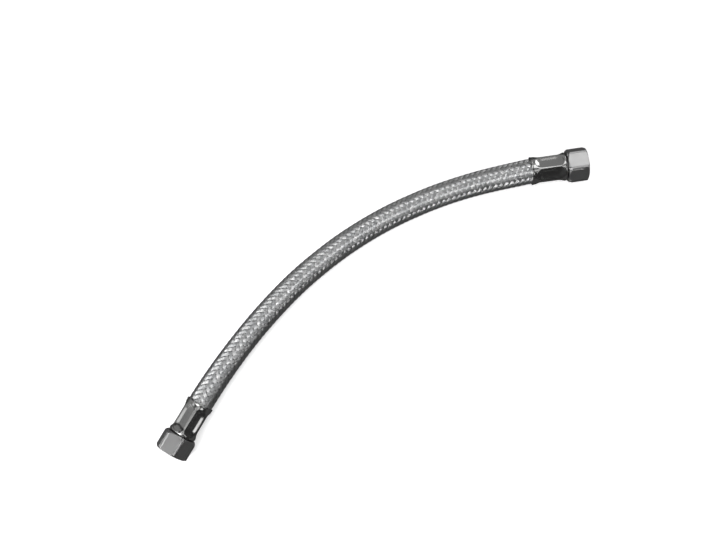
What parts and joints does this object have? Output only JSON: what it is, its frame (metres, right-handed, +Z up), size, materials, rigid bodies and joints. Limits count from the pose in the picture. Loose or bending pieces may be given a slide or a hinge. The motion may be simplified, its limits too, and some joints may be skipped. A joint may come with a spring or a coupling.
{
  "type": "braided connector hose",
  "caption": "Short flexible water hose in a woven steel sleeve, lying in a shallow arc, with a crimped ferrule and a loose hexagonal union nut at each end.",
  "frame": {"origin": "on the surface that the hose lies on, midway between the two end fittings' outer limits along X and along Y", "axes": "+X from end A to end B along the chord between the two nuts, +Y towards the bulge of the arc, +Z up"},
  "size_m": [0.317, 0.0633, 0.019],
  "materials": {
    "hose_rubber": "matt",
    "steel_braid": "woven bright wire",
    "stainless_ferrule": "polished stainless steel",
    "nickel_plated_brass": "satin nickel plate",
    "washer_rubber": "matt"
  },
  "bodies": {
    "hose": {"inner_hose": "hose_rubber", "braid_sleeve": "steel_braid", "ferrule_a": "stainless_ferrule", "ferrule_b": "stainless_ferrule", "tailpiece_a": "nickel_plated_brass", "tailpiece_b": "nickel_plated_brass"},
    "washer_a": {"sealing_washer_a": "washer_rubber"},
    "nut_a": {"swivel_nut_a": "nickel_plated_brass"},
    "washer_b": {"sealing_washer_b": "washer_rubber"},
    "nut_b": {"swivel_nut_b": "nickel_plated_brass"}
  },
  "joints": [
    {"name": "nut_a_slide", "type": "slide", "parent": "hose", "child": "washer_a", "axis": [0.9041, 0.4274, 0], "range_m": [-0.0007, 0.0003]},
    {"name": "nut_a_spin", "type": "hinge", "parent": "washer_a", "child": "nut_a", "pos_m": [-0.1545, -0.00665, 0.0095], "axis": [0.9041, 0.4274, 0], "continuous": true},
    {"name": "nut_b_slide", "type": "slide", "parent": "hose", "child": "washer_b", "axis": [-0.8813, 0.4726, 0], "range_m": [-0.0007, 0.0003]},
    {"name": "nut_b_spin", "type": "hinge", "parent": "washer_b", "child": "nut_b", "pos_m": [0.15409, -0.00723, 0.0095], "axis": [-0.8813, 0.4726, 0], "continuous": true}
  ]
}
